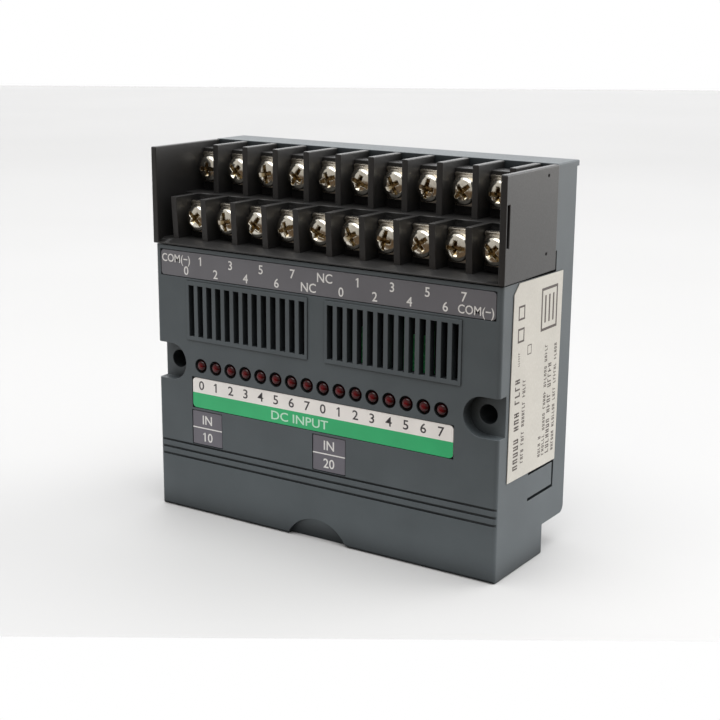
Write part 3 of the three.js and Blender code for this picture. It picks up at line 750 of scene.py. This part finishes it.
def add_rear_marks():
    """What moulding leaves on the rear cover: rings from the ejector pins, and a low frame."""
    low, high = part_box("back_cover")
    middle = (low.z + high.z) / 2
    rise, ring, pin = 0.06 * MM, 0.22 * MM, 2.2 * MM
    profile = [(pin, -rise), (pin + 0.4 * ring, rise), (pin + ring, rise),
               (pin + 1.6 * ring, -rise), (pin, -rise)]
    shape = bmesh.new()
    for x in (-39, -13, 13, 39):
        for z in (-33, 0, 33):
            add_lathe(shape, profile, 32, (x * MM, high.y, middle + z * MM))
    wide, tall, half_line = 17 * MM, 9 * MM, 0.25 * MM
    inner, outer = high.y - rise, high.y + rise
    bottom, top = middle - 17 * MM - tall, middle - 17 * MM + tall
    for z in (bottom, top):
        add_box(shape, (-wide, inner, z - half_line), (wide, outer, z + half_line))
    for x in (-wide, wide):
        add_box(shape, (x - half_line, inner, bottom), (x + half_line, outer, top))
    bmesh.ops.remove_doubles(shape, verts=shape.verts, dist=MERGE)
    seated(linked("rear_marks", mesh_of("rear_marks", shape, SLATE)))


def add_block_gap_shades():
    """Painted shade: black film on the case's sides where an end wall of the terminal block leaves
    a gap below it and behind its foot.
    """
    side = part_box("case_shell")[1].x
    wide, drop, rise = 1.2 * MM, 0.7 * MM, 4.6 * MM
    start, back = FACE + 3 * MM, FACE + BLOCK_DEPTH
    outline = [(start, BLOCK_FOOT), (back, BLOCK_FOOT), (back, BLOCK_FOOT + rise),
               (back + wide, BLOCK_FOOT + rise), (back + wide, BLOCK_FOOT - drop),
               (start + 8 * MM, BLOCK_FOOT - drop / 2)]
    for word, sign in (("left", -1), ("right", 1)):
        shape = bmesh.new()
        inner = [(sign * (side - FILM), y, z) for y, z in outline]
        add_prism(shape, inner, (sign * 3 * FILM, 0, 0))
        name = f"block_gap_shade_{word}"
        seated(linked(name, mesh_of(name, shape, GAP_SHADE)))


# ---------------------------------------------------------------- terminals

def pan_head():
    """The screw's head and thread as (radius, y) points, front to back."""
    dome_steps, dome_height, rim = 16, 1.5 * MM, 0.15 * MM
    dome = [(HEAD_RADIUS * math.sin(a) ** 0.85, dome_height * (1 - math.cos(a) ** 0.8))
            for a in (TURN / 4 * k / dome_steps for k in range(dome_steps + 1))]
    head = [*dome, (HEAD_RADIUS, HEAD_HEIGHT - rim), (HEAD_RADIUS - rim, HEAD_HEIGHT),
            (THREAD_RADIUS + 0.1 * MM, HEAD_HEIGHT), (THREAD_ROOT, HEAD_HEIGHT + 0.1 * MM)]
    steps_per_turn = 6
    rows = int(THREAD_LENGTH / THREAD_PITCH * steps_per_turn) - 4
    thread = []
    for row in range(rows):
        y = HEAD_HEIGHT + 0.2 * MM + THREAD_PITCH * row / steps_per_turn
        start = min(1, row / steps_per_turn)
        tip = min(1, (rows - row) / (2 * steps_per_turn))
        thread.append((crest(y, start * tip), y))
    end = HEAD_HEIGHT + THREAD_LENGTH
    return [*head, *thread, (THREAD_ROOT * 0.7, end), (0, end)]


def crest(y, height):
    """The thread's radius round the shank at one depth, as a function of the angle. height is
    1 where the thread is whole and 0 where it has run out."""
    def radius(angle):
        along = (y / THREAD_PITCH + angle / TURN) % 1
        return THREAD_ROOT + (THREAD_RADIUS - THREAD_ROOT) * height * (1 - abs(2 * along - 1))
    return radius


def drive_recess():
    """The cutters of a shallow slot and of a deeper cross that narrows to a point."""
    slot = (0, 2.6, 0.5, 0.95, 0.9)              # turn, reach, half width, depth and taper
    arms = [(turn, 2.2, 0.62, 1.5, 0.4) for turn in (0, TURN / 4)]
    cutters = []
    for turn, reach, half, depth, taper in (slot, *arms):
        shape = bmesh.new()
        low = (-reach * MM, -depth * MM, -half * MM)
        vertices = add_box(shape, low, (reach * MM, depth * MM, half * MM))
        for vertex in vertices:
            spread = taper if vertex.co.y > 0 else 2 - taper
            vertex.co.x *= spread
            vertex.co.z *= spread
        bmesh.ops.rotate(shape, verts=vertices, matrix=Matrix.Rotation(turn, 3, "Y"))
        cutters.append(shape)
    return cutters


def screw_mesh():
    """A pan head with its recess, the recess's rim rounded, on a threaded shank."""
    shape = turned(pan_head(), 48)
    for cutter in drive_recess():
        shape = cut(shape, cutter)
    bmesh.ops.recalc_face_normals(shape, faces=shape.faces)
    top = 0.6 * MM
    rim = [edge for edge in shape.edges if edge.calc_face_angle_signed(0) > SHARP
           and max(vertex.co.y for vertex in edge.verts) < top]
    bmesh.ops.bevel(shape, geom=rim, offset=0.09 * MM, segments=2, profile=0.5, affect="EDGES")
    return mesh_of("terminal_screw", crease(shape), SCREW_NICKEL)


def washer_mesh():
    """A stamped square clamp, its corners rounded and its rear face ribbed to bite the wire."""
    front = HEAD_HEIGHT + 0.05 * MM
    half, corner, thick, bore = (3.7 * MM, 3.9 * MM), 2.3 * MM, 0.92 * MM, 1.98 * MM
    shape = bmesh.new()
    outline = rounded((-half[0], -half[1]), half, corner)
    add_prism(shape, [(a, front, b) for a, b in outline], (0, thick, 0))
    hole = turned([(0, 0), (bore, 0), (bore, front + 2 * MM), (0, front + 2 * MM)], 36)
    shape = eased(cut(shape, hole), 0.14 * MM)
    reach, rib, rib_pitch = 2.9 * MM, 0.16 * MM, 1.12 * MM
    for k in (-3, -2, 2, 3):
        z = k * rib_pitch
        add_box(shape, (-reach, front + 0.86 * MM, z - rib), (reach, front + MM, z + rib))
    return mesh_of("clamp_washer", shape, STAMPED)


def plate_mesh():
    """The fixed plate behind a washer: serrated where the wire lies, turned back at its top."""
    front, back, bottom, top = 3.62 * MM, 4.36 * MM, -4 * MM, 4.5 * MM
    half, bore = 3.95 * MM, 1.82 * MM
    teeth, first, tooth_pitch, tooth = 7, 3.4 * MM, 0.9 * MM, 0.16 * MM
    outline = [(back, top), (front, top - 0.3 * MM)]
    for k in range(teeth):
        z = first - k * tooth_pitch
        outline += [(front, z), (front + tooth, z - tooth_pitch / 2)]
    outline += [(front, bottom), (back, bottom)]
    shape = bmesh.new()
    add_prism(shape, [(-half, y, z) for y, z in outline], (2 * half, 0, 0))
    hole = turned([(0, 0), (bore, 0), (bore, 9 * MM), (0, 9 * MM)], 32)
    return mesh_of("terminal_plate", eased(cut(shape, hole), 0.08 * MM), STAMPED)


def add_terminals():
    """A screw, its washer and the fixed plate behind them in every cell of the block."""
    screw, washer, plate = screw_mesh(), washer_mesh(), plate_mesh()
    for row, tier in enumerate(TIERS):
        for i in range(TERMINALS_PER_ROW):
            tag = f"{tier}_{i + 1}"
            place = screw_place(tag)
            for name, mesh, slot, body, nodes in (
                    ("screw", screw, "screw", f"screw_{tag}", [f"terminal_screw_{tag}"]),
                    ("washer", washer, "washer", f"washer_{tag}", [f"clamp_washer_{tag}"]),
                    ("plate", plate, "washer", "module", [])):
                piece = linked(f"{name}_{tag}", mesh)
                piece.location = place
                if name == "screw":
                    piece.rotation_euler.y = (i + row * TERMINALS_PER_ROW) * SCREW_TURN
                seated(piece, body, nodes)


# ---------------------------------------------------------------- indicators

def lens_mesh():
    """A 2.9 mm indicator: round-nosed, with a flange behind its hole."""
    radius, tip, rise, steps = 1.45 * MM, -0.36 * MM, 0.9 * MM, 9
    flange, flange_front, back = 1.9 * MM, 3.8 * MM, 4.58 * MM
    nose = [(radius * math.sin(a), tip + rise * (1 - math.cos(a)))
            for a in (TURN / 4 * k / steps for k in range(steps + 1))]
    body = [(radius, 3.7 * MM), (flange, flange_front), (flange, back), (0, back)]
    return mesh_of("indicator", crease(turned(nose + body, 32)), LENS_RED)


def bezel_mesh():
    """The black ring that holds an indicator in its hole, near-black so that it also paints the
    hole's shade.
    """
    inner, outer, front, back, ease = 1.5 * MM, 1.96 * MM, 0.6 * MM, 1.9 * MM, 0.1 * MM
    profile = [(inner, back), (inner, front + ease), (inner + ease, front),
               (outer - ease, front), (outer, front + ease), (outer, back), (inner, back)]
    shape = turned(profile, 32)
    bmesh.ops.remove_doubles(shape, verts=shape.verts, dist=MERGE)
    return mesh_of("indicator_bezel", crease(shape), BEZEL_BLACK_AND_SHADE)


def add_indicators():
    """The lenses and their bezels, on a holder with a rib between each two."""
    low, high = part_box("led_strip")
    z = (low.z + high.z) / 2
    lens, bezel = lens_mesh(), bezel_mesh()
    for i, x in enumerate(led_places()):
        for name, mesh in (("indicator", lens), ("bezel", bezel)):
            piece = linked(f"{name}_{i + 1}", mesh)
            piece.location = (x, FACE, z)
            seated(piece)
    shape = bmesh.new()
    add_box(shape, (low.x, FACE + 4.6 * MM, low.z), (high.x, high.y, high.z))
    half, inset = 0.35 * MM, 0.4 * MM
    for x in led_places()[1:]:
        rib = x - LED_PITCH / 2
        add_box(shape, (rib - half, FACE + 3.9 * MM, low.z + inset),
                (rib + half, FACE + 5 * MM, high.z - inset))
    holder = linked("indicator_holder", mesh_of("indicator_holder", shape, DARK_PLASTIC))
    soften(holder, 0.12 * MM)
    seated(holder, nodes=["led_strip"])


# ---------------------------------------------------------------- labels

def label_box(node):
    """A front label's corners as (x, z) pairs, and the y of its face."""
    low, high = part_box(node)
    return (low.x, low.z), (high.x, high.z), low.y


def add_print(name, shape, slot, *finishes):
    """Print as a piece of its own, shaded flat."""
    piece = linked(name, mesh_of(name, shape, *finishes))
    for face in piece.data.polygons:
        face.use_smooth = False
    seated(piece)


def add_plain_label(node, finish, corner):
    """A label's film, with round corners and a fine gap to the edge of its recess."""
    low, high, y = label_box(node)
    low = [edge + LABEL_GAP for edge in low]
    high = [edge - LABEL_GAP for edge in high]
    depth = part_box(node)[1].y - y
    shape = bmesh.new()
    add_prism(shape, [(a, y, b) for a, b in rounded(low, high, corner)], (0, depth, 0))
    piece = linked(f"{node}_film", mesh_of(f"{node}_film", shape, finish))
    soften(piece, 0.08 * MM)
    seated(piece, nodes=[node])


def add_terminal_label():
    """Two staggered rows of terminal numbers, one for each tier of screws."""
    node = "terminal_label"
    add_plain_label(node, LABEL_SLATE, MM)
    low, high, y = label_box(node)
    y -= FILM / 2
    common = "COM(−)"
    ends = {"upper": (low[0] + 0.5 * MM, -1), "lower": (high[0] - 0.6 * MM, 1)}
    rows = [("upper", 71.75 * MM, [common, "1", "3", "5", "7", "NC", "1", "3", "5", "7"]),
            ("lower", 68.75 * MM, ["0", "2", "4", "6", "NC", "0", "2", "4", "6", common])]
    shape = bmesh.new()
    for tier, z, words in rows:
        for i, word in enumerate(words):
            if word == common:
                x, align = ends[tier]
                add_text(shape, word, (x, y, z), 2.15 * MM, align, 0.92)
            else:
                x = screw_place(f"{tier}_{i + 1}").x
                add_text(shape, word, (x, y, z), 2.35 * MM)
    add_print("terminal_numbers", shape, "label_dark", WHITE_INK)


def add_led_label():
    """A white strip with the channel numbers, above a green band that says what they are."""
    node = "led_label"
    add_plain_label(node, LABEL_WHITE, 1.2 * MM)
    low, high, y = label_box(node)
    y -= FILM / 2
    band_top, number_z, title_x, title_z = 34.85 * MM, 37.05 * MM, -5.6 * MM, 32.75 * MM
    left, right = low[0] + LABEL_GAP, high[0] - LABEL_GAP
    outline = rounded((left, low[1] + LABEL_GAP), (right, high[1]), 1.15 * MM)
    foot = [(a, b) for a, b in outline if b < band_top]
    band = [(left, band_top), *foot[len(foot) // 2:], *foot[:len(foot) // 2], (right, band_top)]
    shape = bmesh.new()
    add_prism(shape, [(a, y, b) for a, b in band], (0, FILM, 0))
    for i, x in enumerate(led_places()):
        number = str(i % CHANNELS)
        add_text(shape, number, (x, y, number_z), 2.45 * MM, stretch=1.1, finish=1)
    title_place = (title_x, y - FILM, title_z)
    add_text(shape, "DC INPUT", title_place, 2.35 * MM, stretch=1.2, finish=2)
    add_print("channel_numbers", shape, "label_led", LABEL_GREEN, DARK_INK, PALE_INK)


def add_input_label(side, number):
    """IN over a line over a group number."""
    node = f"input_label_{side}"
    add_plain_label(node, LABEL_PURPLE, 0.3 * MM)
    low, high, y = label_box(node)
    y -= FILM / 2
    x = (low[0] + high[0]) / 2
    z = (low[1] + high[1]) / 2
    half_line, height = 0.16 * MM, 2.5 * MM
    shape = bmesh.new()
    add_box(shape, (low[0] + LABEL_GAP, y, z - half_line),
            (high[0] - LABEL_GAP, y + FILM, z + half_line))
    add_text(shape, "IN", (x, y, z + 2.4 * MM), height)
    add_text(shape, number, (x, y, z - 2.5 * MM), height)
    add_print(f"input_mark_{side}", shape, "label_dark", WHITE_INK)


# ---------------------------------------------------------------- the rating sticker

def add_rating_label():
    """A cream sticker with rows of meaningless marks for its small print, and plain boxes. In
    here, places run back from the sticker's front edge and up from its foot, in millimetres."""
    from_node("rating_label", "rating_sticker", CREAM, 0.05 * MM, 0.04 * MM)
    low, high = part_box("rating_label")
    shape = bmesh.new()
    x = high.x - FILM / 2
    draw = random.Random(SEED)

    def bar(y0, y1, z0, z1):
        """A printed rectangle."""
        add_box(shape, (x, low.y + y0 * MM, low.z + z0 * MM),
                (x + FILM, low.y + y1 * MM, low.z + z1 * MM))

    def mark(y, tall, z, wide):
        """A meaningless character: a stem, an arm and sometimes a second stem."""
        line = 0.17 * tall
        arm = y + draw.choice((-0.5, -0.1, 0.36)) * tall
        bar(y - tall / 2, y + tall / 2, z, z + line)
        bar(arm, arm + line, z, z + wide)
        if draw.random() < 0.5:
            bar(y - tall / 2, y + tall / 2, z + wide - line, z + wide)

    def words(y, tall, start, end, pitch):
        """A row of words of three to seven marks, running up the sticker."""
        z = start
        while z < end - pitch:
            for _ in range(draw.randint(3, 7)):
                if z < end - pitch:
                    mark(y, tall, z, 0.66 * pitch)
                z += pitch
            z += pitch

    def box_outline(y0, y1, z0, z1, line):
        """A printed frame."""
        bar(y0, y1, z0, z0 + line)
        bar(y0, y1, z1 - line, z1)
        bar(y0, y0 + line, z0 + line, z1 - line)
        bar(y1 - line, y1, z0 + line, z1 - line)

    title = (3.9, 2.5, 3, 27.5, 1.7)             # place, height, start, end and pitch
    small_print = ((7.4, 1.5, 4, 26, 0.95), (17, 1.4, 3, 9, 0.95), (19.1, 1.4, 3, 33, 0.95),
                   (21.5, 1.9, 3, 28, 1.35), (24.5, 1.4, 3, 32, 0.9))
    for row in (title, *small_print):
        words(*row)
    box_outline(15.5, 24.5, 36, 47, 0.7)
    for y in (17.8, 20, 22.2):
        bar(y - 0.4, y + 0.4, 38, 45)
    box_outline(3.2, 6.6, 41, 44.6, 0.5)
    box_outline(3.2, 6.6, 35.4, 39, 0.5)
    box_outline(8.6, 10.8, 31.5, 34, 0.25)
    words(4.2, 0.9, 29.5, 34, 0.6)
    add_print("rating_print", shape, "label_rating", BROWN_INK)


# ---------------------------------------------------------------- boards

def add_board_parts(name, finish, width, face, rows):
    """Rows of equal boxes standing on a board's front face. A row is its count, the x and z of
    its first box, the pitch, and a box's width, height and depth, in millimetres."""
    shape = bmesh.new()
    for count, *sizes in rows:
        x, z, pitch, wide, tall, deep = (size * MM for size in sizes)
        for i in range(count):
            middle = x + i * pitch
            add_box(shape, (middle - wide / 2, face - deep, z - tall / 2),
                    (middle + wide / 2, face + BOARD_SINK, z + tall / 2))
    piece = linked(name, mesh_of(name, shape, finish))
    soften(piece, width)
    seated(piece)


def add_front_board():
    """Resistors behind the indicators, and dark filter blocks with gaps behind the vents."""
    from_node("front_board", "indicator_board", MASK, 0.1 * MM, 0.1 * MM)
    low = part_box("front_board")[0]
    left = low.x / MM
    add_board_parts("series_resistors", CERAMIC, 0.06 * MM, low.y, [
        (LED_COUNT, left + 6, 30, 5.08, 1.3, 2.1, 0.5),
        (LED_COUNT, left + 6, 34.4, 5.08, 1.3, 2.1, 0.5)])
    add_board_parts("filter_blocks", DARK_PLASTIC, 0.2 * MM, low.y, [
        (5, left + 5.5, 57.8, 10.4, 9.6, 17, 4.2),
        (2, 17.6, 57.8, 20.4, 9, 17, 4.2),
        (3, 10.8, 63, 8.6, 3.4, 7, 3)])


def add_main_board():
    """The logic board with its chips, small parts, stacking header and fixing screws."""
    from_node("main_board", "logic_board", MASK, 0.1 * MM, 0.1 * MM,
              [(X, BOSS_X), (X, -BOSS_X)])
    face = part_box("main_board")[0].y
    for node in ("controller_chip", *(f"optocoupler_{i + 1}" for i in range(4))):
        from_node(node, f"{node}_body", EPOXY, 0.15 * MM, 0.1 * MM)
        add_chip_legs(node, face)
    add_board_parts("bypass_parts", CERAMIC, 0.06 * MM, face, [
        (18, -44, 46, 4, 1.2, 2, 0.7),
        (9, -40, 78, 10, 2, 1.3, 0.9)])
    from_node("board_link", "stacking_header", DARK_PLASTIC, 0.25 * MM, 0.15 * MM)
    for side in ("left", "right"):
        from_node(f"board_screw_{side}", f"board_fixing_{side}", NICKEL,
                  0.1 * MM, 0.1 * MM)


def add_chip_legs(node, face):
    """Gull-wing legs at both sides of a chip, down to the board's face."""
    low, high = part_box(node)
    pitch, half = 1.27 * MM, 0.2 * MM
    count = int((high.z - low.z) / pitch)
    outline = [(0, -1.2), (0.5, -1.2), (0.8, -0.25), (1.4, -0.2),
               (1.4, -0.05), (0.65, -0.05), (0.35, -0.95), (0, -0.95)]
    shape = bmesh.new()
    for side, edge in ((-1, low.x), (1, high.x)):
        for k in range(count):
            z = (low.z + high.z) / 2 + (k - (count - 1) / 2) * pitch
            points = [(edge + side * a * MM, face + b * MM, z - half) for a, b in outline]
            add_prism(shape, points, (0, 0, 2 * half))
    seated(linked(f"{node}_legs", mesh_of(f"{node}_legs", shape, TINNED)))


# ---------------------------------------------------------------- bus plug

def add_bus_plug():
    """The plug under the rear step, with two rows of square pins that narrow at their tips."""
    from_node("bus_connector", "bus_shroud", DARK_PLASTIC, 0.25 * MM, 0.12 * MM,
              [(X, 0)])
    low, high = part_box("bus_connector")
    columns, pitch, half, narrow = 12, 2.54 * MM, 0.32 * MM, 0.6
    shape = bmesh.new()
    for row in (-1, 1):
        y = (low.y + high.y) / 2 + row * pitch / 2
        for k in range(columns):
            x = (low.x + high.x) / 2 + (k - (columns - 1) / 2) * pitch
            vertices = add_box(shape, (x - half, y - half, low.z + 1.2 * MM),
                               (x + half, y + half, high.z - MM))
            for vertex in vertices:
                if vertex.co.z < low.z + 2 * MM:
                    vertex.co.x = x + (vertex.co.x - x) * narrow
                    vertex.co.y = y + (vertex.co.y - y) * narrow
    pins = linked("bus_pins", mesh_of("bus_pins", shape, GOLD))
    soften(pins, 0.08 * MM)
    seated(pins)


# ---------------------------------------------------------------- assembly

def main():
    """The whole scene: camera, light and floor, then the module from its case inwards."""
    bpy.context.scene.view_settings.view_transform = "Standard"
    add_camera()
    add_world()
    add_lights()
    add_floor()
    add_housings()
    add_terminals()
    add_indicators()
    add_terminal_label()
    add_led_label()
    add_input_label("left", "10")
    add_input_label("right", "20")
    add_rating_label()
    add_front_board()
    add_main_board()
    add_bus_plug()


main()
